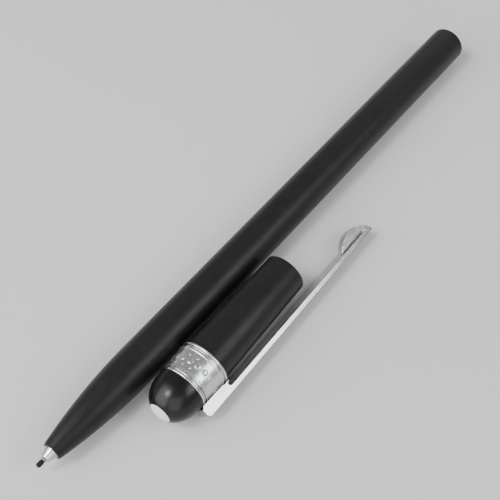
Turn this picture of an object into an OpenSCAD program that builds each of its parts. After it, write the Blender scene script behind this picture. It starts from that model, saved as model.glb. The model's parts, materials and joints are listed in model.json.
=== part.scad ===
// Slim capped fineliner pen, lying on a table with its cap pulled off beside it.
// +X points to the writing tip, +Y to the side where the cap lies, +Z up.
// The origin is at the middle of the footprint, on the table.

/* [Pen] */
// Length from the fibre tip to the flat rear end
pen_length = 140; // [134:1:146]
// Outside diameter of the barrel
barrel_d = 8.3; // [8.2:0.05:8.4]
// Wall of the drawn metal barrel tube
barrel_wall = 0.45; // [0.4:0.05:0.5]
// Length of the front section that unscrews, tip included
section_length = 27.5; // [27.2:0.1:28]
// Diameter of the blunt front edge of the section
nose_d = 3.9; // [3.8:0.05:4]
// Length of tip that stands out of the section
tip_length = 3.6; // [3.5:0.1:3.8]
// Where the section starts to narrow, counted back from the fibre tip
taper_length = 26.5; // [25:0.1:27]

/* [Refill] */
// Outside diameter of the ink cartridge
refill_d = 4.6; // [4.4:0.1:4.7]
// Length of the ink cartridge, fibre tip included
refill_length = 124; // [120:1:125]
// Diameter of the fibre tip
fibre_d = 1; // [0.9:0.05:1.1]
// Diameter of the steel cone where it enters the section
cone_d = 3; // [2.9:0.05:3.1]
// Turns of the refill spring
spring_turns = 7; // [5:1:9]

/* [Thread] */
// Pitch of the thread between section and barrel
thread_pitch = 0.75; // [0.7:0.05:0.8]
// Outside diameter of the section's threaded stub
thread_d = 6; // [5.8:0.1:6.1]

/* [Cap] */
// Length of the cap tube from its mouth to the trim rings
cap_tube_length = 25.75; // [25:0.25:27]
// Outside diameter at the mouth
cap_mouth_d = 9; // [8.95:0.05:9.1]
// Outside diameter beside the trim rings
cap_neck_d = 9.9; // [9.8:0.05:10]
// Diameter of the bore that slips over the barrel
cap_bore_d = 8.5; // [8.45:0.05:8.6]
// Outside diameter of the rear trim ring
rear_ring_d = 11; // [10.9:0.05:11]
// Outside diameter of the front trim ring
front_ring_d = 10.4; // [10.3:0.05:10.5]
// Height of the three trim rings together
rings_length = 6.85; // [6.8:0.05:7]
// Height of the dome
dome_height = 6.9; // [6.5:0.1:7]
// Diameter of the plain inlay at the top of the dome
inlay_d = 4.6; // [4.4:0.1:4.8]

/* [Clip] */
// Distance from the cap's axis to the inner face of the clip
clip_in = 6.31; // [6.2:0.01:6.4]
// Thickness of the clip bar
clip_thick = 1.07; // [1:0.01:1.1]
// Width of the clip bar
clip_width = 3.6; // [3.4:0.1:3.8]
// How far the clip reaches past the mouth
clip_reach = 22.6; // [22:0.1:23]
// Radius of the half-round fin under the clip's end
fin_r = 5.3; // [5:0.1:5.5]
// Thickness of the fin
fin_thick = 1.7; // [1.6:0.1:2]

/* [Resting place] */
// How far the cap's mouth lies in front of the middle of the pen
cap_mouth_x = 10.06; // [10:0.01:12]
// Sideways distance from the barrel's axis to the centre of the mouth
cap_offset = 9.93; // [9.9:0.01:10.2]
// Angle between the cap and the barrel, seen from above
cap_yaw = 0.9; // [0:0.1:1.5]
// Roll of the cap that brings the clip down onto the table
clip_roll = 32.4; // [32:0.1:32.6]

/* [Hidden] */
$fn = 96;
eps = 0.01;

// Fits
seam = 0.03;             // hairline between section and barrel
run = 0.05;              // radial clearance of a running fit
clear = 0.15;            // radial clearance where nothing should touch

// Stations along the pen, as X
tip_x = pen_length / 2;
rear_x = -pen_length / 2;
nose_x = tip_x - tip_length;
seam_x = tip_x - section_length;
taper_x = tip_x - taper_length;
barrel_r = barrel_d / 2;
tube_in_r = barrel_r - barrel_wall;
edge_r = 0.35;           // rounding of the tube's rear edge
barrel_y = -6.75;        // puts the middle of the footprint at Y = 0

// Tip
fibre_len = 1.5;
neck_len = 0.4;
cone_len = tip_length - fibre_len - neck_len;
cone_front_r = 0.82;
sleeve_r = 0.6;
shank_r = 0.38;
flange_x = 60;           // front face of the cone's flange
flange_t = 1;
holder_len = 9;
shank_x = 47;            // rear end of the fibre's shank
sleeve_x = 56;

// Refill
refill_r = refill_d / 2;
refill_in_r = refill_r - 0.35;
refill_rear_x = tip_x - refill_length;
plug_len = 3;
pin_len = 2;
pin_r = 1;

// Rear of the barrel
end_plug_len = 6;
seat_t = 2;
seat_lip = 1.2;
spring_r = 1.7;
wire_r = 0.2;
spring_front_x = refill_rear_x - seam;
spring_rear_x = rear_x + end_plug_len + seat_t;

// Thread
thread_r = thread_d / 2;
thread_len = 12;
thread_depth = 0.3;
collar_in_r = refill_r + clear;
collar_seat_r = 3.25;
collar_seat_len = 7.5;
insert_len = thread_len + 1.5;

// Cap, with Z along its own axis from the mouth to the dome
mouth_r = cap_mouth_d / 2;
neck_r = cap_neck_d / 2;
bore_r = cap_bore_d / 2;
bore_len = 12;           // smooth bore behind the mouth
clutch_len = 9;
clutch_r = bore_r + 0.2;
deep_r = bore_r - 0.3;   // narrower bore that holds the inner cap
spigot_r = 4.6;          // the tube's end under the trim rings
rear_ring_r = rear_ring_d / 2;
front_ring_r = front_ring_d / 2;
bead_len = 1;
rings_end = cap_tube_length + rings_length;
band_from = cap_tube_length + bead_len;
band_to = rings_end - bead_len;
band_rear_r = rear_ring_r - 0.15;
band_front_r = front_ring_r - 0.05;
relief = 0.12;           // height of the raised pattern on the band
inner_cap_from = 22.5;
inner_cap_r = deep_r - 0.02;
inner_bore_r = 2.6;
inner_end = 30;
stud_r = 1.5;
stud_from = 30.7;
stud_to = rings_end + 3.4;
dome_r = 5.12;
dome_power = 2.3;
inlay_r = inlay_d / 2;
inlay_t = 0.8;

// Clip, with X outward from the cap's axis
clip_out = clip_in + clip_thick;
root_from = cap_tube_length - 0.35;
root_to = rings_end + 0.65;
root_round = 0.85;
slot_round = 0.5;
fin_x = barrel_r - 0.15 + fin_r;  // the fin's crest lies 0.15 inside the barrel's radius, as preload
fin_z = 5.3 - clip_reach;

function ogive_r(x) =
    let (run_x = nose_x - taper_x, drop = barrel_r - nose_d / 2,
         arc_r = (run_x * run_x + drop * drop) / (2 * drop))
    x <= taper_x ? barrel_r : barrel_r - arc_r + sqrt(arc_r * arc_r - pow(x - taper_x, 2));

function dome_z(r) = rings_end + dome_height * pow(1 - pow(r / dome_r, dome_power), 1 / dome_power);

// Places a shape drawn with Z along the barrel's axis, Z being the final X
module on_barrel() {
    translate([0, barrel_y, barrel_r]) rotate([0, 90, 0]) children();
}

// Places a shape drawn in the cap's own axes, the clip lying along the shape's +X
module on_cap() {
    translate([cap_mouth_x, barrel_y + cap_offset, rear_ring_r])
        rotate([0, 0, cap_yaw]) rotate([0, 90, 0]) rotate([0, 0, 90 - clip_roll]) children();
}

// A tube or disc from z0 to z1
module ring(r_out, r_in, z0, z1) {
    translate([0, 0, z0]) difference() {
        cylinder(r = r_out, h = z1 - z0);
        if (r_in > 0) translate([0, 0, -1]) cylinder(r = r_in, h = z1 - z0 + 2);
    }
}

// ---- barrel ----

module barrel_tube() {
    color("#232325") on_barrel() rotate_extrude() union() {
        translate([tube_in_r, rear_x + edge_r]) square([barrel_wall, seam_x - rear_x - edge_r]);
        translate([tube_in_r, rear_x]) square([barrel_wall - edge_r, edge_r + eps]);
        intersection() {
            translate([barrel_r - edge_r, rear_x + edge_r]) circle(r = edge_r);
            translate([tube_in_r, rear_x]) square([barrel_wall, edge_r + eps]);
        }
    }
}

module end_plug() {
    color("#1d1d1f") on_barrel() union() {
        ring(tube_in_r, 0, rear_x, rear_x + end_plug_len);
        ring(tube_in_r - 1, 0, rear_x + end_plug_len - eps, rear_x + end_plug_len + 0.5);
    }
}

module spring_seat() {
    z0 = rear_x + end_plug_len + 0.5;
    color("#d8d8d2") on_barrel() union() {
        ring(tube_in_r - clear, 0, z0, spring_rear_x);
        ring(pin_r, 0, spring_rear_x - eps, spring_rear_x + seat_lip);
    }
}

module thread_insert() {
    color("#b08d4c") on_barrel()
        ring(tube_in_r, thread_r + run, seam_x - insert_len, seam_x - 0.3);
}

// The coil is a helix of round wire, swept as one closed mesh
module refill_spring() {
    steps = 16;
    sides = 6;
    length = spring_front_x - spring_rear_x - 2 * wire_r;
    count = spring_turns * steps;
    points = [for (i = [0 : count], k = [0 : sides - 1])
        let (turn = 360 * i / steps, side = 360 * k / sides,
             r = spring_r + wire_r * cos(side))
        [r * cos(turn), r * sin(turn), length * i / count + wire_r * sin(side)]];
    walls = [for (i = [0 : count - 1], k = [0 : sides - 1])
        let (n = (k + 1) % sides)
        [i * sides + k, (i + 1) * sides + k, (i + 1) * sides + n, i * sides + n]];
    first = [for (k = [0 : sides - 1]) k];
    last = [for (k = [sides - 1 : -1 : 0]) count * sides + k];
    color("#c9ccd0") on_barrel() translate([0, 0, spring_rear_x + wire_r])
        polyhedron(points, concat(walls, [first, last]), convexity = 10);
}

// ---- refill ----

module refill_tube() {
    color("#ecebe6") on_barrel()
        ring(refill_r, refill_in_r, refill_rear_x + plug_len - 2, flange_x - flange_t);
}

module refill_plug() {
    color("#23427a") on_barrel() union() {
        ring(refill_r, 0, refill_rear_x, refill_rear_x + plug_len - 2);
        ring(refill_in_r, 0, refill_rear_x + plug_len - 2 - eps, refill_rear_x + plug_len + 3);
        ring(pin_r, 0, refill_rear_x - pin_len, refill_rear_x + eps);
    }
}

module ink_reservoir() {
    color("#30405e") on_barrel() difference() {
        ring(refill_in_r - run, 0, refill_rear_x + plug_len + 3.2, flange_x - flange_t - holder_len - 0.2);
        ring(shank_r, 0, shank_x, flange_x);
    }
}

module nib_holder() {
    color("#ecebe6") on_barrel() difference() {
        ring(refill_in_r, 0, flange_x - flange_t - holder_len, flange_x - flange_t);
        ring(shank_r, 0, 0, sleeve_x);
        ring(sleeve_r, 0, sleeve_x - eps, tip_x);
    }
}

module nib_cone() {
    color("#b9bbbe") on_barrel() difference() {
        union() {
            ring(refill_r, 0, flange_x - flange_t, flange_x);
            ring(cone_d / 2, 0, flange_x - eps, nose_x);
            translate([0, 0, nose_x - eps])
                cylinder(r1 = cone_d / 2, r2 = cone_front_r, h = cone_len + eps);
        }
        ring(sleeve_r, 0, flange_x - 3, tip_x);
    }
}

module nib_sleeve() {
    color("#d5d7da") on_barrel()
        ring(sleeve_r, shank_r, sleeve_x, tip_x - fibre_len);
}

module fibre_nib() {
    r = fibre_d / 2;
    round_r = r * 0.8;
    color("#1b1b1b") on_barrel() rotate_extrude() union() {
        translate([0, shank_x]) square([shank_r, tip_x - fibre_len - shank_x + eps]);
        translate([0, tip_x - fibre_len]) square([r, fibre_len - round_r]);
        translate([0, tip_x - round_r - eps]) square([r - round_r, round_r + eps]);
        intersection() {
            translate([r - round_r, tip_x - round_r]) circle(r = round_r, $fn = 48);
            translate([0, tip_x - round_r - eps]) square([r, round_r + eps]);
        }
    }
}

// ---- nose section ----

module nose_shell() {
    steps = 28;
    lip = 0.2;
    collar_end = seam_x + collar_seat_len;
    outline = concat(
        [[collar_seat_r, seam_x + seam], [barrel_r, seam_x + seam]],
        [for (i = [0 : steps]) let (x = taper_x + (nose_x - lip - taper_x) * i / steps) [ogive_r(x), x]],
        [[ogive_r(nose_x) - lip, nose_x], [cone_d / 2 + run, nose_x]],
        [[cone_d / 2 + run, flange_x + 0.05], [collar_in_r, flange_x + 0.05]],
        [[collar_in_r, collar_end], [collar_seat_r, collar_end]]);
    color("#232325") on_barrel() rotate_extrude() polygon(outline);
}

// Brass stub: its front half sits in the nose shell, its rear half is threaded
module section_collar() {
    root_r = thread_r - thread_depth;
    grooves = floor((thread_len - 2) / thread_pitch);
    start = seam_x - thread_len;
    thread = [for (i = [0 : grooves - 1], p = [[0, 0], [0.5, 1]])
        [p[1] == 0 ? thread_r : root_r, start + 0.4 + (i + p[0]) * thread_pitch]];
    outline = concat(
        [[collar_in_r, start], [thread_r - 0.25, start]],
        thread,
        [[root_r, seam_x - 1.2], [root_r, seam_x + seam + 0.02], [collar_seat_r, seam_x + seam + 0.02]],
        [[collar_seat_r, seam_x + collar_seat_len], [collar_in_r, seam_x + collar_seat_len]]);
    color("#b08d4c") on_barrel() rotate_extrude() polygon(outline);
}

// ---- cap ----

module cap_tube() {
    lip = 0.06;
    clutch_to = bore_len + clutch_len + 0.4;
    outline = [[bore_r, 0], [mouth_r - lip, 0], [mouth_r, lip], [neck_r, cap_tube_length],
        [spigot_r, cap_tube_length], [spigot_r, rings_end - 0.2], [deep_r, rings_end - 0.2],
        [deep_r, clutch_to], [clutch_r, clutch_to], [clutch_r, bore_len], [bore_r, bore_len]];
    color("#232325") on_cap() rotate_extrude() polygon(outline);
}

// Slit spring sleeve that grips the barrel
module clutch_spring() {
    fingers = 6;
    color("#c9ccd0") on_cap() difference() {
        ring(clutch_r - 0.02, bore_r + 0.04, bore_len + 0.2, bore_len + 0.2 + clutch_len);
        for (i = [0 : fingers - 1]) rotate([0, 0, 360 * i / fingers])
            translate([0, -0.4, bore_len - 1]) cube([clutch_r + 1, 0.8, clutch_len - 0.6]);
    }
}

module inner_cap() {
    color("#3a3a3c") on_cap() difference() {
        ring(inner_cap_r, 0, inner_cap_from, rings_end - 0.2);
        ring(inner_bore_r, 0, inner_cap_from - 1, inner_end);
        translate([0, 0, inner_cap_from - eps])
            cylinder(r1 = inner_bore_r + 0.8, r2 = inner_bore_r, h = 1.2);
        ring(stud_r, 0, stud_from, rings_end + 1);
    }
}

// A trim ring with one broad bead at z0 and a fine one beside it, towards the band
module bead_ring(r, z0, dir) {
    bead = 0.3;
    fine = 0.16;
    color("#d9dbde") on_cap() rotate_extrude() difference() {
        union() {
            translate([spigot_r, min(z0, z0 + dir * bead_len)]) square([r - bead - spigot_r, bead_len]);
            translate([r - bead, z0 + dir * bead]) circle(r = bead, $fn = 40);
            translate([r - bead + 0.04, z0 + dir * (2 * bead + fine + 0.02)]) circle(r = fine, $fn = 32);
            translate([r - bead - 0.1, min(z0 + dir * 0.02, z0 + dir * bead_len)]) square([0.12, bead_len - 0.02]);
        }
        translate([0, z0 - dir * 5 - 5]) square([20, 10]);
    }
}

module rear_bead_ring() {
    bead_ring(rear_ring_r, cap_tube_length, 1);
}

module front_bead_ring() {
    bead_ring(front_ring_r, rings_end, -1);
}

// Plain beaded band: a row of round studs between two fine rims
module cap_band() {
    studs = 18;
    stud = 0.55;
    rim = 0.35;
    mid_z = (band_from + band_to) / 2;
    mid_r = (band_rear_r + band_front_r) / 2;
    color("#c3c5c8") on_cap() union() {
        difference() {
            union() {
                translate([0, 0, band_from])
                    cylinder(r1 = band_rear_r - relief, r2 = band_front_r - relief, h = band_to - band_from);
                translate([0, 0, band_from]) cylinder(r1 = band_rear_r, r2 = band_rear_r - relief / 3, h = rim);
                translate([0, 0, band_to - rim]) cylinder(r1 = band_front_r + relief / 3, r2 = band_front_r, h = rim);
            }
            translate([0, 0, band_from - 1]) cylinder(r = spigot_r, h = band_to - band_from + 2);
        }
        for (i = [0 : studs - 1]) rotate([0, 0, 360 * (i + 0.5) / studs])
            translate([mid_r - 0.4, 0, mid_z]) rotate([0, 90, 0]) cylinder(r = stud, h = 0.4, $fn = 32);
    }
}

module cap_stud() {
    color("#b08d4c") on_cap() ring(stud_r, 0, stud_from, stud_to);
}

module dome() {
    steps = 40;
    outer = [for (i = [0 : steps]) let (r = dome_r * cos(90 * i / steps)) [max(r, 0), dome_z(max(r, 0))]];
    color("#161618") on_cap() difference() {
        rotate_extrude() polygon(concat([[0, rings_end]], outer));
        ring(stud_r, 0, rings_end - 1, stud_to);
        ring(inlay_r, 0, dome_z(inlay_r) - inlay_t, rings_end + dome_height + 1);
    }
}

module dome_inlay() {
    steps = 12;
    top = [for (i = [0 : steps]) let (r = inlay_r * (1 - i / steps)) [r, dome_z(r)]];
    base = dome_z(inlay_r) - inlay_t;
    color("#e9e6d8") on_cap() rotate_extrude() polygon(concat([[0, base], [inlay_r, base]], top));
}

// ---- clip ----

module clip() {
    half = clip_width / 2;
    end_len = 2.3;           // stretch at the free end where the fin is as wide as the bar
    end_break = 0.45;        // chamfer of the root's end beside the dome
    seat_gap = 0.12;         // axial gap between the root and the beads
    color("#d2d4d7") on_cap() difference() {
        union() {
            // bar and its full-width free end, which follows the fin's arc
            intersection() {
                union() {
                    translate([clip_in, -half, -clip_reach])
                        cube([clip_thick, clip_width, root_to - root_round + clip_reach]);
                    translate([fin_x - fin_r, -half, -clip_reach])
                        cube([clip_out - fin_x + fin_r, clip_width, end_len]);
                }
                union() {
                    translate([fin_x, 0, fin_z]) rotate([90, 0, 0])
                        translate([0, 0, -half - 1]) cylinder(r = fin_r, h = clip_width + 2);
                    translate([0, -half - 1, fin_z]) cube([clip_out + 1, clip_width + 2, root_to - fin_z]);
                }
            }
            // root block that spans the trim rings, its front corner rounded
            rotate([90, 0, 0]) translate([0, 0, -half]) linear_extrude(clip_width) union() {
                translate([4.8, root_from]) square([clip_out - 4.8 - root_round, root_to - root_from]);
                translate([4.8, root_from]) square([clip_out - 4.8, root_to - root_from - root_round]);
                translate([clip_out - root_round, root_to - root_round]) circle(r = root_round, $fn = 48);
            }
            // half-round fin that bears on the barrel
            intersection() {
                translate([fin_x, 0, fin_z]) rotate([90, 0, 0])
                    translate([0, 0, -fin_thick / 2]) cylinder(r = fin_r, h = fin_thick);
                translate([0, -half, -clip_reach]) cube([clip_out - 0.05, clip_width, 2 * fin_r]);
            }
        }
        // seat over the trim rings, closer on the band than on the beads
        translate([0, 0, band_from]) cylinder(r1 = band_rear_r + run, r2 = band_front_r + run, h = band_to - band_from);
        translate([0, 0, cap_tube_length]) cylinder(r = rear_ring_r + run, h = bead_len + seat_gap);
        translate([0, 0, band_to - seat_gap]) cylinder(r = front_ring_r + run, h = bead_len + seat_gap + eps);
        translate([0, 0, rings_end - eps]) cylinder(r = front_ring_r + run, h = 3);
        translate([0, 0, root_to - end_break])
            cylinder(r1 = front_ring_r + run, r2 = front_ring_r + run + end_break + eps, h = end_break + eps);
        translate([0, 0, root_from - 1]) cylinder(r = rear_ring_r + run, h = cap_tube_length - root_from + 1 + eps);
        // rounded end of the slot between bar and tube
        translate([clip_in - slot_round, 0, root_from]) rotate([90, 0, 0])
            translate([0, 0, -half - 1]) cylinder(r = slot_round, h = clip_width + 2, $fn = 40);
    }
}

barrel_tube();
end_plug();
thread_insert();
spring_seat();
refill_spring();
refill_tube();
refill_plug();
ink_reservoir();
nib_holder();
nib_cone();
nib_sleeve();
fibre_nib();
nose_shell();
section_collar();
cap_tube();
clutch_spring();
inner_cap();
rear_bead_ring();
cap_band();
front_bead_ring();
cap_stud();
dome();
dome_inlay();
clip();
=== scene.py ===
import json
import math

import bmesh
import bpy
from mathutils import Matrix, Vector, noise


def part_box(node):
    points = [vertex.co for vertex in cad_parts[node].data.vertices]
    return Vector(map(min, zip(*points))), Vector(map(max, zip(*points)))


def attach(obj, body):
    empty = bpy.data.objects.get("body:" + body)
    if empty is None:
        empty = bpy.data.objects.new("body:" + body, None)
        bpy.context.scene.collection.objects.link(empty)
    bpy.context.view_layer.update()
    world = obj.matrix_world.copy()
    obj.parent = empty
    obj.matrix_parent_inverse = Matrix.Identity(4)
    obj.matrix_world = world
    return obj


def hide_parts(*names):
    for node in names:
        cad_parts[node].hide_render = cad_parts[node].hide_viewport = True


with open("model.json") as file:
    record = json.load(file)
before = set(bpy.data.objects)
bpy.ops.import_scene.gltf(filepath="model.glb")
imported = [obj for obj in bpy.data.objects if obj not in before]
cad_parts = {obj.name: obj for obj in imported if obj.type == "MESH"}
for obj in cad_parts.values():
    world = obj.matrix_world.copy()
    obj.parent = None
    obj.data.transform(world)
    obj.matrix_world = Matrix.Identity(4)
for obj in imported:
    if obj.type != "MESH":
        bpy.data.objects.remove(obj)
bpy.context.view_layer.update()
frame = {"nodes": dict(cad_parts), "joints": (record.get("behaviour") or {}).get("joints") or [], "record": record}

MM = 0.001
NODES = frame["nodes"]
RECORD = frame["record"]

# ---------------------------------------------------------------- frames

MOUNTS = {m["name"]: m for m in RECORD["mounts"]}
JOINTS = {j["name"]: j for j in frame["joints"]}


def placement(origin, x_axis, y_axis, z_axis):
    """Matrix that puts a shape drawn around its own Z axis into the row frame."""
    rotation = Matrix((x_axis, y_axis, z_axis)).transposed().to_4x4()
    return Matrix.Translation(origin) @ rotation


def pen_placement():
    """Local Z runs along the barrel, and its value is the final X."""
    low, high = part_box("barrel_tube")
    middle = (low + high) / 2
    return placement(Vector((0, middle.y, middle.z)), (0, 0, -1), (0, 1, 0), (1, 0, 0))


def cap_placement():
    """Local Z runs from the cap's mouth to its dome, local X points to the clip."""
    along = -Vector(MOUNTS["cap_mouth"]["axis"]).normalized()
    across = -Vector(JOINTS["clip_hinge"]["axis"]).normalized()
    outward = across.cross(along).normalized()
    point = Vector(MOUNTS["cap_mouth"]["pos_m"])
    mouth = min((v.co - point).dot(along) for v in NODES["cap_tube"].data.vertices)
    return placement(point + mouth * along, outward, across, along)


PEN = pen_placement()
CAP = cap_placement()


def measure(node, place):
    """Lowest and highest local Z, then smallest and largest radius, of a CAD node."""
    inverse = place.inverted()
    points = [inverse @ v.co for v in NODES[node].data.vertices]
    along = [p.z for p in points]
    radii = [math.hypot(p.x, p.y) for p in points]
    return min(along), max(along), min(radii), max(radii)


# ---------------------------------------------------------------- mesh tools

SEGMENTS = 192             # faces around a turned piece
SHARP = math.radians(38)   # an edge with a greater angle stays sharp
ON_AXIS = 1e-7             # a smaller radius counts as lying on the axis


def rounded(points, steps=6):
    """Closed outline of (r, z) or (r, z, fillet): every fillet becomes an arc."""
    result = []
    count = len(points)
    for i, point in enumerate(points):
        corner = Vector(point[:2])
        fillet = point[2] if len(point) > 2 else 0
        if not fillet:
            result.append(corner)
            continue
        before = (Vector(points[i - 1][:2]) - corner).normalized()
        after = (Vector(points[(i + 1) % count][:2]) - corner).normalized()
        half = before.angle(after) / 2
        reach = fillet / math.tan(half)
        centre = corner + (before + after).normalized() * (fillet / math.sin(half))
        start = corner + before * reach - centre
        end = corner + after * reach - centre
        sweep = start.angle_signed(end)
        for k in range(steps + 1):
            turn = -sweep * k / steps
            c, s = math.cos(turn), math.sin(turn)
            result.append(centre + Vector((c * start.x - s * start.y, s * start.x + c * start.y)))
    return result


def arc(centre, radius, start, end, steps):
    """Points of an arc in the (r, z) plane, angles in degrees from the r axis."""
    angles = [math.radians(start + (end - start) * i / steps) for i in range(steps + 1)]
    return [(centre[0] + radius * math.cos(a), centre[1] + radius * math.sin(a)) for a in angles]


def finish_mesh(node, bm, place, material, body):
    """Turns a bmesh in local axes into the finished piece that stands for a CAD node."""
    bmesh.ops.remove_doubles(bm, verts=bm.verts, dist=2e-7)
    bmesh.ops.dissolve_degenerate(bm, edges=bm.edges, dist=1e-8)
    bmesh.ops.recalc_face_normals(bm, faces=bm.faces)
    bm.transform(place)
    name = node + "_skin"
    mesh = bpy.data.meshes.new(name)
    bm.to_mesh(mesh)
    bm.free()
    mesh.shade_smooth()
    mesh.set_sharp_from_angle(angle=SHARP)
    mesh.materials.append(material)
    piece = bpy.data.objects.new(name, mesh)
    bpy.context.scene.collection.objects.link(piece)
    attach(piece, body)
    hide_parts(node)
    return piece


def lathe(node, outline, place, material, body, segments=SEGMENTS, shift=None):
    """Spins a closed outline of (r, z) around Z. shift(r, z, turn) may return a new radius."""
    bm = bmesh.new()
    rings = []
    for k in range(segments):
        turn = 2 * math.pi * k / segments
        c, s = math.cos(turn), math.sin(turn)
        ring = []
        for r, z in outline:
            radius = shift(r, z, turn) if shift else r
            ring.append(bm.verts.new((radius * c, radius * s, z)))
        rings.append(ring)
    count = len(outline)
    for k in range(segments):
        here, there = rings[k], rings[(k + 1) % segments]
        for i in range(count):
            j = (i + 1) % count
            if max(outline[i][0], outline[j][0]) > ON_AXIS:
                bm.faces.new((here[i], there[i], there[j], here[j]))
    return finish_mesh(node, bm, place, material, body)


# ---------------------------------------------------------------- materials


class Shader:
    """One Principled material, with helpers that add procedural detail."""

    def __init__(self, name, colour, metallic=0.0, roughness=0.5, specular=0.5):
        self.material = bpy.data.materials.new(name)
        self.material.use_nodes = True
        self.tree = self.material.node_tree
        self.shader = self.tree.nodes["Principled BSDF"]
        self.put("Base Color", (*colour, 1))
        self.put("Metallic", metallic)
        self.put("Roughness", roughness)
        self.put("Specular IOR Level", specular)
        coordinates = self.tree.nodes.new("ShaderNodeTexCoord")
        self.place = coordinates.outputs["Object"]
        self.normal = None

    def put(self, socket, value):
        self.shader.inputs[socket].default_value = value

    def link(self, a, b):
        self.tree.links.new(a, b)

    def stretched(self, scale, turn=(0, 0, 0)):
        mapping = self.tree.nodes.new("ShaderNodeMapping")
        mapping.inputs["Scale"].default_value = scale
        mapping.inputs["Rotation"].default_value = turn
        self.link(self.place, mapping.inputs["Vector"])
        return mapping.outputs["Vector"]

    def noise(self, scale, detail=4.0, roughness=0.5, vector=None):
        node = self.tree.nodes.new("ShaderNodeTexNoise")
        node.inputs["Scale"].default_value = scale
        node.inputs["Detail"].default_value = detail
        node.inputs["Roughness"].default_value = roughness
        self.link(vector or self.place, node.inputs["Vector"])
        return node.outputs["Fac"]

    def ramp(self, fac, stops):
        node = self.tree.nodes.new("ShaderNodeValToRGB")
        elements = node.color_ramp.elements
        while len(elements) < len(stops):
            elements.new(0.5)
        for element, (position, colour) in zip(elements, stops):
            element.position = position
            element.color = (*colour, 1)
        self.link(fac, node.inputs["Fac"])
        return node.outputs["Color"]

    def colour(self, fac, stops):
        self.link(self.ramp(fac, stops), self.shader.inputs["Base Color"])

    def roughness(self, fac, low, high, dark=0.35, light=0.65):
        stops = [(dark, (low,) * 3), (light, (high,) * 3)]
        self.link(self.ramp(fac, stops), self.shader.inputs["Roughness"])

    def bump(self, height, strength, distance):
        node = self.tree.nodes.new("ShaderNodeBump")
        node.inputs["Strength"].default_value = strength
        node.inputs["Distance"].default_value = distance
        self.link(height, node.inputs["Height"])
        if self.normal:
            self.link(self.normal, node.inputs["Normal"])
        self.normal = node.outputs["Normal"]
        self.link(self.normal, self.shader.inputs["Normal"])


def black_lacquer():
    """Satin lacquer on metal: near black, faint orange peel, fine rub marks."""
    s = Shader("black_lacquer", (0.012, 0.012, 0.0125), roughness=0.42, specular=0.28)
    cloud = s.noise(260, 3, 0.55)
    rubs = s.noise(900, 6, 0.7, s.stretched((0.25, 2.2, 2.2), (0, 0, 0.06)))
    s.colour(cloud, [(0.3, (0.0075, 0.0075, 0.008)), (0.7, (0.0105, 0.0105, 0.0112))])
    s.roughness(rubs, 0.37, 0.47)
    s.bump(s.noise(5200, 2, 0.5), 0.05, 4e-6)
    s.bump(rubs, 0.04, 3e-6)
    return s.material


def plating(name, low, high):
    """Bright plating with fine handling scratches and a thin uneven film."""
    s = Shader(name, (0.66, 0.665, 0.67), metallic=1.0, roughness=(low + high) / 2)
    film = s.noise(420, 5, 0.6)
    scratches = s.noise(2600, 8, 0.75, s.stretched((3.0, 0.5, 0.5), (0, 0.3, 0.7)))
    s.colour(film, [(0.3, (0.58, 0.585, 0.59)), (0.65, (0.74, 0.745, 0.75))])
    s.roughness(scratches, low, high)
    s.bump(scratches, 0.10, 4e-6)
    return s.material


def clip_steel():
    """Polished steel with a light lengthwise grain."""
    s = Shader("clip_steel", (0.475, 0.48, 0.49), metallic=1.0, roughness=0.2)
    grain = s.noise(2400, 6, 0.7, s.stretched((0.06, 1.6, 1.6)))
    film = s.noise(300, 4, 0.6)
    s.colour(film, [(0.3, (0.425, 0.43, 0.44)), (0.7, (0.525, 0.53, 0.54))])
    s.roughness(grain, 0.15, 0.28)
    s.bump(grain, 0.08, 3e-6)
    return s.material


def cone_steel():
    """Turned bright metal: rings of fine tool marks around the pen's axis."""
    s = Shader("cone_steel", (0.53, 0.53, 0.54), metallic=1.0, roughness=0.17)
    lines = s.noise(1500, 5, 0.6, s.stretched((14.0, 0.4, 0.4)))
    s.colour(lines, [(0.3, (0.44, 0.44, 0.45)), (0.7, (0.62, 0.62, 0.63))])
    s.roughness(lines, 0.12, 0.22)
    s.bump(lines, 0.06, 3e-6)
    return s.material


def dome_resin():
    """Glossy black resin with faint swirl and polish marks."""
    s = Shader("dome_resin", (0.006, 0.006, 0.0065), roughness=0.24, specular=0.32)
    swirl = s.noise(330, 5, 0.6)
    marks = s.noise(3000, 6, 0.75, s.stretched((2.0, 0.6, 1.2), (0.5, 0.2, 0.9)))
    s.colour(swirl, [(0.35, (0.0045, 0.0045, 0.0050)), (0.7, (0.0080, 0.0080, 0.0085))])
    s.roughness(marks, 0.22, 0.34)
    s.bump(marks, 0.03, 2e-6)
    return s.material


def ivory_resin():
    """Cloudy ivory resin, slightly worn."""
    s = Shader("ivory_resin", (0.74, 0.72, 0.60), roughness=0.38)
    cloud = s.noise(700, 5, 0.6)
    s.colour(cloud, [(0.3, (0.68, 0.66, 0.53)), (0.7, (0.80, 0.785, 0.67))])
    s.roughness(cloud, 0.32, 0.46)
    s.bump(s.noise(4000, 3, 0.5), 0.06, 3e-6)
    s.put("Subsurface Weight", 0.15)
    s.put("Subsurface Radius", (0.0006, 0.0005, 0.0003))
    s.put("Subsurface Scale", 1.0)
    return s.material


def nib_fibre():
    """Inked fibre: dark, matt, with its strands along the pen."""
    s = Shader("nib_fibre", (0.012, 0.012, 0.013), roughness=0.8, specular=0.2)
    strands = s.noise(9000, 4, 0.6, s.stretched((0.12, 1.0, 1.0)))
    s.colour(strands, [(0.3, (0.006, 0.006, 0.007)), (0.7, (0.026, 0.026, 0.028))])
    s.roughness(strands, 0.65, 0.95)
    s.bump(strands, 0.5, 1.5e-5)
    return s.material


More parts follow.
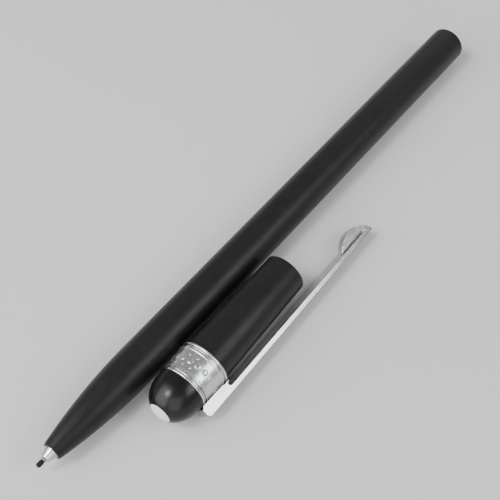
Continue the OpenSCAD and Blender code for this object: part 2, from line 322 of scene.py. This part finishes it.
def turned_brass():
    """Brass with fine turning marks around the pen's axis."""
    s = Shader("turned_brass", (0.69, 0.52, 0.26), metallic=1.0, roughness=0.3)
    lines = s.noise(1200, 5, 0.6, s.stretched((10.0, 0.4, 0.4)))
    s.colour(lines, [(0.3, (0.60, 0.44, 0.20)), (0.7, (0.76, 0.59, 0.31))])
    s.roughness(lines, 0.24, 0.42)
    s.bump(lines, 0.2, 6e-6)
    return s.material


def moulded_plastic(name, dark, light):
    """Moulded plastic with a fine grain and soft mottling."""
    s = Shader(name, light, roughness=0.5)
    mottling = s.noise(500, 3, 0.5)
    s.colour(mottling, [(0.3, dark), (0.7, light)])
    s.roughness(s.noise(1800, 3, 0.5), 0.42, 0.6)
    s.bump(s.noise(6000, 2, 0.5), 0.12, 5e-6)
    return s.material


def spring_steel():
    """Drawn wire and strip with an uneven sheen."""
    s = Shader("spring_steel", (0.62, 0.63, 0.65), metallic=1.0, roughness=0.3)
    drawn = s.noise(2500, 5, 0.6)
    s.colour(drawn, [(0.3, (0.52, 0.53, 0.55)), (0.7, (0.70, 0.71, 0.73))])
    s.roughness(drawn, 0.24, 0.4)
    s.bump(drawn, 0.1, 3e-6)
    return s.material


def ink_fibre():
    """Fibre rod soaked with ink."""
    s = Shader("ink_fibre", (0.06, 0.08, 0.18), roughness=0.9)
    strands = s.noise(5000, 5, 0.65, s.stretched((0.08, 1.0, 1.0)))
    s.colour(strands, [(0.3, (0.03, 0.04, 0.10)), (0.7, (0.11, 0.13, 0.26))])
    s.roughness(strands, 0.8, 1.0)
    s.bump(strands, 0.6, 2e-5)
    return s.material


def table_paper():
    """Pale matt table top."""
    s = Shader("table_paper", (0.60, 0.60, 0.60), roughness=0.75, specular=0.25)
    cloud = s.noise(9, 3, 0.5)
    s.colour(cloud, [(0.3, (0.590, 0.590, 0.592)), (0.7, (0.612, 0.612, 0.612))])
    s.roughness(s.noise(700, 3, 0.5), 0.7, 0.82)
    s.bump(s.noise(1600, 3, 0.5), 0.04, 1e-5)
    return s.material


BLACK = black_lacquer()
CHROME = plating("ring_chrome", 0.10, 0.24)
SATIN = plating("band_satin", 0.24, 0.38)
STEEL = clip_steel()
CONE = cone_steel()
RESIN = dome_resin()
IVORY = ivory_resin()
FIBRE = nib_fibre()
BRASS = turned_brass()
WHITE = moulded_plastic("white_plastic", (0.76, 0.75, 0.71), (0.84, 0.83, 0.80))
BLUE = moulded_plastic("blue_plastic", (0.03, 0.09, 0.33), (0.06, 0.14, 0.44))
DARK = moulded_plastic("dark_plastic", (0.035, 0.035, 0.037), (0.06, 0.06, 0.062))
SPRING = spring_steel()
INK = ink_fibre()

# ---------------------------------------------------------------- barrel

EDGE = 0.35 * MM          # rounding of the barrel's rear edge
BREAK = 0.006 * MM        # broken edge at a seam
HAIRLINE = 0.008 * MM     # visible gap between barrel and section
DISH = 0.12 * MM          # depth of the dish in the barrel's end
PLUG_STEP = 0.5 * MM      # length of the end plug's narrow inner end
TAPER_BACK = 26.5 * MM    # where the section starts to narrow, back from the tip
NOSE_R = 1.95 * MM        # radius where the section ends
NOSE_LIP = 0.28 * MM      # rounding of that end
SEAT_WALL = 0.9 * MM      # wall around the brass collar's seat
SEAT_LENGTH = 7.5 * MM    # length of that seat
REFILL_WALL = 1.7 * MM    # wall around the refill
CONE_BORE = 6 * MM        # length of the bore that the cone stands in
CONE_R = 1.5 * MM         # radius of the cone where it leaves the section
CONE_FRONT_R = 0.82 * MM  # radius of the cone's front edge
FLANGE = 1 * MM           # thickness of the flange behind the cone
FIBRE_OUT = 1.5 * MM      # length of fibre that stands out of its sleeve
FIBRE_CROWN = 0.42 * MM   # rounding of the fibre's end
SHANK_R = 0.38 * MM       # radius of the fibre inside its sleeve
SHOULDER = 0.1 * MM       # how far the fibre narrows towards the sleeve
SHOULDER_LENGTH = 0.6 * MM   # and the length over which it does so
STRAND = 0.006 * MM       # depth of the strands in the fibre


def build_barrel():
    z0, z1, r_in, r_out = measure("barrel_tube", PEN)
    outline = rounded([(r_in, z0), (r_out, z0, EDGE), (r_out, z1, BREAK), (r_in, z1)], 10)
    lathe("barrel_tube", outline, PEN, BLACK, "barrel")


def build_end_plug():
    z0, z1, _, r_out = measure("end_plug", PEN)
    inner = r_out - 1 * MM
    outline = [(0, z0 + DISH), (r_out - 1.1 * MM, z0 + DISH, 0.2 * MM), (r_out - 0.8 * MM, z0, 0.1 * MM),
               (r_out, z0, 0.08 * MM), (r_out, z1 - PLUG_STEP), (inner, z1 - PLUG_STEP), (inner, z1), (0, z1)]
    lathe("end_plug", rounded(outline), PEN, BLACK, "barrel")


def ogive(z, start, end, r_full, r_end):
    """Radius of the section: a circular arc that leaves the cylinder smoothly."""
    if z <= start:
        return r_full
    drop = r_full - r_end
    radius = ((end - start) ** 2 + drop ** 2) / (2 * drop)
    return r_full - radius + math.sqrt(radius ** 2 - (z - start) ** 2)


def build_nose():
    """Front section: it narrows along an arc to a rounded lip, and its bore seats the brass collar."""
    _, z1, cone_r, r_out = measure("nose_shell", PEN)
    z0 = measure("barrel_tube", PEN)[1] + HAIRLINE
    seat_r, seat_end = r_out - SEAT_WALL, z0 + SEAT_LENGTH
    refill_r = r_out - REFILL_WALL
    start = measure("fibre_nib", PEN)[1] - TAPER_BACK
    end = z1 - NOSE_LIP
    steps = 60
    outer = [(r_out, z0, BREAK)]
    for i in range(steps + 1):
        z = start + (end - start) * i / steps
        outer.append((ogive(z, start, z1, r_out, NOSE_R), z))
    front = arc((ogive(end, start, z1, r_out, NOSE_R) - NOSE_LIP, end), NOSE_LIP, 12, 90, 8)
    bore = [(cone_r + 0.06 * MM, z1), (cone_r, z1 - 0.1 * MM), (cone_r, z1 - CONE_BORE),
            (refill_r, z1 - CONE_BORE - 0.2 * MM), (refill_r, seat_end), (seat_r, seat_end), (seat_r, z0)]
    lathe("nose_shell", rounded(outer + front + bore), PEN, BLACK, "nose_section")


def build_cone():
    z0, z1, _, flange_r = measure("nib_cone", PEN)
    nose_z = measure("nose_shell", PEN)[1]
    hole = measure("nib_sleeve", PEN)[3]
    outline = [(hole, z0), (flange_r, z0), (flange_r, z0 + FLANGE), (CONE_R, z0 + FLANGE),
               (CONE_R, nose_z - 0.15 * MM, 0.1 * MM), (CONE_FRONT_R, z1, 0.12 * MM), (hole, z1, 0.04 * MM)]
    lathe("nib_cone", rounded(outline), PEN, CONE, "refill")


def build_sleeve():
    z0, z1, r_in, r_out = measure("nib_sleeve", PEN)
    outline = [(r_in, z0), (r_out, z0), (r_out, z1, 0.12 * MM), (r_in, z1, 0.05 * MM)]
    lathe("nib_sleeve", rounded(outline), PEN, CONE, "refill", SEGMENTS // 2)


def build_fibre():
    """Fibre tip: a thin shank, a shoulder that swells smoothly, and a domed end with fine strands."""
    z0, z1, _, r_out = measure("fibre_nib", PEN)
    base = z1 - FIBRE_OUT
    steps = 8
    outline = [(0, z0), (SHANK_R, z0), (SHANK_R, base), (r_out - SHOULDER, base, 0.04 * MM)]
    for i in range(1, steps + 1):
        swell = math.sin(math.pi / 2 * i / steps)
        outline.append((r_out - SHOULDER * (1 - swell), base + SHOULDER_LENGTH * i / steps))
    outline += arc((r_out - FIBRE_CROWN, z1 - FIBRE_CROWN), FIBRE_CROWN, 0, 90, 12) + [(0, z1)]

    def strands(r, z, turn):
        if r < SHANK_R * 1.05 or z < base:
            return r
        ripple = noise.noise(Vector((math.cos(turn) * 9, math.sin(turn) * 9, z / MM * 0.6)))
        return r + STRAND * (ripple - 0.5)

    lathe("fibre_nib", rounded(outline), PEN, FIBRE, "refill", SEGMENTS // 2, strands)


# ---------------------------------------------------------------- cap

MOUTH_R = 4.5 * MM      # outside radius of the cap at its mouth
POCKET_GAP = 0.2 * MM   # end play of the clutch spring in its pocket
BEAD = 0.27 * MM        # radius of a trim ring's broad bead
FINE_BEAD = 0.15 * MM   # radius of its fine bead
GROOVE = 2.12 * BEAD    # where the groove behind the broad bead starts
GROOVE_DEPTH = 0.14 * MM   # how far the groove lies below the bead's middle
JOINT_GAP = 0.01 * MM   # play between a trim ring and the band
REAR_INSET = 0.15 * MM  # how far the band lies inside the rear trim ring
FRONT_INSET = 0.05 * MM  # and inside the front one
DOME_POWER = 2.3        # squareness of the dome's outline
DOME_FOOT = 0.985       # radius of the dome's underside as a share of its full radius
INLAY_DEPTH = 0.8 * MM  # depth of the seat that holds the inlay
INLAY_GAP = 0.015 * MM  # hairline around the inlay
INLAY_RIM = 0.05 * MM   # broken edge of inlay and seat


def build_cap_tube():
    """Tapered tube: mouth bore, pocket for the clutch spring, then a deeper, narrower bore."""
    z0, z1, deep, neck = measure("cap_tube", CAP)
    neck_z, _, spigot, _ = measure("rear_bead_ring", CAP)
    spring_from, spring_to, _, spring_r = measure("clutch_spring", CAP)
    bore = MOUNTS["cap_mouth"]["dims"]["r_mm"] * MM
    pocket = spring_r + 0.02 * MM
    pocket_from, pocket_to = spring_from - POCKET_GAP, spring_to + POCKET_GAP
    outline = [(bore, z0, 0.05 * MM), (MOUTH_R, z0, 0.09 * MM), (neck, neck_z, 0.03 * MM), (spigot, neck_z),
               (spigot, z1), (deep, z1), (deep, pocket_to), (pocket, pocket_to),
               (pocket, pocket_from), (bore, pocket_from)]
    lathe("cap_tube", rounded(outline), CAP, BLACK, "cap")


def bead_outline(r, inner, z, step, length):
    """Trim ring: a broad bead at z, a groove and a fine bead, towards z + step."""
    middle = r - BEAD
    floor = middle - GROOVE_DEPTH
    fine_from = GROOVE + 0.09 * MM
    end = z + step * (length - JOINT_GAP)
    points = [(inner, z), (middle, z)]
    for i in range(1, 14):
        a = math.radians(-90 + 180 * i / 14)
        points.append((middle + BEAD * math.cos(a), z + step * (BEAD + BEAD * math.sin(a))))
    points += [(floor, z + step * GROOVE), (floor, z + step * (GROOVE + 0.07 * MM))]
    for i in range(1, 10):
        a = math.radians(180 * i / 10)
        points.append((floor + 0.02 * MM + FINE_BEAD * math.sin(a),
                       z + step * (fine_from + FINE_BEAD * (1 - math.cos(a)))))
    return points + [(floor, end), (inner, end)]


def build_beads():
    for node, side, step in (("rear_bead_ring", 0, 1), ("front_bead_ring", 1, -1)):
        limits = measure(node, CAP)
        outline = bead_outline(limits[3], limits[2], limits[side], step, limits[1] - limits[0])
        lathe(node, outline, CAP, CHROME, "cap", 256)


def smooth_step(low, high, value):
    """0 up to low, 1 from high on, and a soft rise between them."""
    t = min(max((value - low) / (high - low), 0), 1)
    return t * t * (3 - 2 * t)


RELIEF = 0.12 * MM      # height of the pattern on the band
DENT = 0.006 * MM       # depth of the unevenness in its plating
STUDS = 18              # studs around the band
PEARL_RISE = 0.6        # height of a pearl as a share of a stud's

# Plan of the pattern, in millimetres
STUD_PITCH = 1.82       # from stud to stud
HALF_BAND = 2.42        # from the band's middle line to its edge
STUD_R = 0.6            # radius of a stud
PEARL_R = 0.24          # radius of a pearl
PEARL_OFF = 1.15        # from the middle line to a pearl
RIM_FROM = 1.98         # from the middle line to where a rim starts to rise
RIM_TO = 2.12           # and to where it has its full height


def bead_height(distance, radius):
    """Height of a round bead, 1 in its middle and 0 outside."""
    return math.sqrt(max(0, 1 - (distance / radius) ** 2))


def motif(u, v):
    """Height of the relief from 0 to 1: u is 0 to 1 along one repeat, v is -1 to 1 across the band."""
    x = (u - 0.5) * STUD_PITCH
    y = v * HALF_BAND
    aside = abs(x) - STUD_PITCH / 2
    stud = bead_height(math.hypot(x, y), STUD_R)
    pearls = max(bead_height(math.hypot(aside, y - side * PEARL_OFF), PEARL_R) for side in (-1, 1))
    rims = smooth_step(RIM_FROM, RIM_TO, abs(y))
    return max(stud, PEARL_RISE * pearls, rims)


def build_band():
    z0, z1, inner, _ = measure("cap_band", CAP)
    rear = measure("rear_bead_ring", CAP)[3] - REAR_INSET - RELIEF
    front = measure("front_bead_ring", CAP)[3] - FRONT_INSET - RELIEF
    rows = 72
    outer = [(rear + (front - rear) * i / rows, z0 + (z1 - z0) * i / rows) for i in range(rows + 1)]
    outline = [(inner, z0)] + outer + [(inner, z1)]

    def relief(r, z, turn):
        if r < inner + 0.01 * MM:
            return r
        u = (turn / (2 * math.pi) * STUDS) % 1
        v = 2 * (z - z0) / (z1 - z0) - 1
        dent = DENT * noise.noise(Vector((math.cos(turn) * 4, math.sin(turn) * 4, v * 3)))
        return r + RELIEF * motif(u, v) + dent

    lathe("cap_band", outline, CAP, SATIN, "cap", 900, relief)


def build_dome():
    """Glossy dome with a seat in its tip, and the ivory inlay that carries its curve on."""
    z0, _, _, base = measure("dome", CAP)
    _, tip, _, inlay_r = measure("dome_inlay", CAP)

    def top(r):
        return z0 + (tip - z0) * (1 - (r / base) ** DOME_POWER) ** (1 / DOME_POWER)

    steps = 72
    hole = inlay_r + INLAY_GAP
    seat = top(inlay_r) - INLAY_DEPTH
    outer = [(0, z0), (base * DOME_FOOT, z0)]
    for i in range(steps + 1):
        r = base * math.cos(math.pi / 2 * i / steps)
        if r > hole + 0.06 * MM:
            outer.append((r, top(r)))
    outer += [(hole + INLAY_RIM, top(hole + INLAY_RIM)), (hole, top(hole) - 0.035 * MM)]
    outer += [(hole, seat), (0, seat)]
    lathe("dome", outer, CAP, RESIN, "cap")

    steps = 16
    under = seat + 0.01 * MM
    inlay = [(0, under), (inlay_r, under),
             (inlay_r, top(inlay_r) - INLAY_RIM), (inlay_r - INLAY_RIM, top(inlay_r - INLAY_RIM))]
    for i in range(1, steps + 1):
        r = inlay_r * (1 - i / steps)
        inlay.append((r, top(r)))
    lathe("dome_inlay", inlay, CAP, IVORY, "cap")


# ---------------------------------------------------------------- clip

CLIP_EDGE = 0.13 * MM            # rounding of the clip's edges
CLIP_TIP = 0.3 * MM              # rounding of the corner at the clip's free end
CLIP_WELD = 0.05 * MM            # shorter edges than this are closed up, so that the rounding can run
CLIP_FLAT = math.radians(1)      # faces that meet at less become one
CLIP_CORNER = math.radians(50)   # edges that turn by more are rounded


def build_clip():
    """The clip's CAD outline with softened edges, except where it sits on the trim rings."""
    bm = bmesh.new()
    bm.from_mesh(NODES["clip"].data)
    bmesh.ops.remove_doubles(bm, verts=bm.verts, dist=CLIP_WELD)
    bmesh.ops.dissolve_limit(bm, angle_limit=CLIP_FLAT, verts=bm.verts, edges=bm.edges)
    inverse = CAP.inverted()
    ring_z, _, _, ring_r = measure("rear_bead_ring", CAP)
    end_z = measure("clip", CAP)[0]

    def on_seat(edge):
        points = [inverse @ v.co for v in edge.verts]
        return all(p.z > ring_z - 0.4 * MM and math.hypot(p.x, p.y) < ring_r + 0.2 * MM for p in points)

    def at_tip(edge):
        return all((inverse @ v.co).z < end_z + 0.02 * MM for v in edge.verts)

    tip = [e for e in bm.edges if at_tip(e)]
    bmesh.ops.bevel(bm, geom=tip, offset=CLIP_TIP, segments=6, profile=0.5, affect="EDGES")
    corners = [e for e in bm.edges if len(e.link_faces) == 2
               and e.calc_face_angle() > CLIP_CORNER and not on_seat(e)]
    bmesh.ops.bevel(bm, geom=corners, offset=CLIP_EDGE, segments=4, profile=0.5, affect="EDGES")
    piece = finish_mesh("clip", bm, Matrix.Identity(4), STEEL, "clip")
    flat = piece.modifiers.new("flat_faces", "WEIGHTED_NORMAL")
    flat.keep_sharp = True


# ---------------------------------------------------------------- stage

VIEW_AZIMUTH = math.radians(215.455)    # direction of view from above
VIEW_ELEVATION = math.radians(55.822)   # its angle below the horizontal
VIEW_ROLL = math.radians(3.318)
VIEW_DISTANCE = 195.897 * MM
VIEW_TARGET = Vector((-62.84, -1.175, 0)) * MM   # from the spot on the table below the fibre tip
TIP_SPOT = Vector((70, -6.75, 0)) * MM           # where that spot is in the row frame
VIEW_FOCAL = 66.3
FLOOR_SIZE = 1.5       # metres, as the grid counts it
WORLD_STRENGTH = 0.32  # even white light from all sides


def aim(origin, forward, up_hint, roll=0.0):
    """World matrix of a camera or light that looks along forward."""
    forward = forward.normalized()
    right = forward.cross(up_hint).normalized()
    up = right.cross(forward)
    c, s = math.cos(roll), math.sin(roll)
    turned_right = c * right + s * up
    turned_up = -s * right + c * up
    rotation = Matrix((turned_right, turned_up, -forward)).transposed().to_4x4()
    return Matrix.Translation(origin) @ rotation


def add_camera():
    forward = Vector((math.cos(VIEW_AZIMUTH) * math.cos(VIEW_ELEVATION),
                      math.sin(VIEW_AZIMUTH) * math.cos(VIEW_ELEVATION), -math.sin(VIEW_ELEVATION)))
    camera = bpy.data.cameras.new("view")
    camera.lens = VIEW_FOCAL
    camera.sensor_width = 36
    camera.clip_start = 0.005
    holder = bpy.data.objects.new("view", camera)
    bpy.context.scene.collection.objects.link(holder)
    origin = VIEW_TARGET + TIP_SPOT - forward * VIEW_DISTANCE
    holder.matrix_world = aim(origin, forward, Vector((0, 0, 1)), VIEW_ROLL)
    bpy.context.scene.camera = holder


def add_softbox(name, origin, size, power, tone):
    """Rectangular light that faces the part."""
    light = bpy.data.lights.new(name, "AREA")
    light.shape = "RECTANGLE"
    light.size, light.size_y = size
    light.energy = power
    light.color = tone
    holder = bpy.data.objects.new(name, light)
    bpy.context.scene.collection.objects.link(holder)
    holder.matrix_world = aim(origin, -origin, Vector((0, 1, 0.2)))


def add_floor():
    """Table top under the part."""
    bm = bmesh.new()
    bmesh.ops.create_grid(bm, x_segments=24, y_segments=24, size=FLOOR_SIZE)
    mesh = bpy.data.meshes.new("floor")
    bm.to_mesh(mesh)
    bm.free()
    mesh.materials.append(table_paper())
    floor = bpy.data.objects.new("floor", mesh)
    bpy.context.scene.collection.objects.link(floor)


def add_world():
    world = bpy.data.worlds.new("studio")
    bpy.context.scene.world = world
    world.use_nodes = True
    background = world.node_tree.nodes["Background"]
    background.inputs["Color"].default_value = (1, 1, 1, 1)
    background.inputs["Strength"].default_value = WORLD_STRENGTH


# Name, place in metres and what it is multiplied by, width and height, watts, colour
LIGHTS = (
    ("key", (0.52, -0.28, 0.85), 0.75, (0.15, 0.15), 2.2, (1, 1, 1)),
    ("left", (0.75, -0.45, 0.55), 0.9, (1.2, 1.0), 14, (1, 1, 1)),
    ("right", (0.7, 0.6, 0.5), 0.9, (0.9, 0.8), 4.5, (1, 1, 1)),
    ("rear", (-0.95, -0.2, 0.4), 0.9, (0.8, 0.8), 1.2, (1, 1, 1)),
    ("fill", (-0.28, 0.70, 0.65), 0.7, (0.26, 0.36), 1.9, (0.94, 0.97, 1.0)),
)

# ---------------------------------------------------------------- all together

CARRIED = {
    "thread_insert": BRASS, "section_collar": BRASS, "cap_stud": BRASS,
    "refill_tube": WHITE, "nib_holder": WHITE, "spring_seat": WHITE, "refill_plug": BLUE,
    "ink_reservoir": INK, "refill_spring": SPRING, "clutch_spring": SPRING, "inner_cap": DARK,
}
for node_name, finish in CARRIED.items():
    NODES[node_name].data.materials.clear()
    NODES[node_name].data.materials.append(finish)

build_barrel()
build_end_plug()
build_nose()
build_cone()
build_sleeve()
build_fibre()
build_cap_tube()
build_beads()
build_band()
build_dome()
build_clip()

add_camera()
add_floor()
add_world()
for light_name, spot, factor, size, power, tone in LIGHTS:
    add_softbox(light_name, Vector(spot) * factor, size, power, tone)
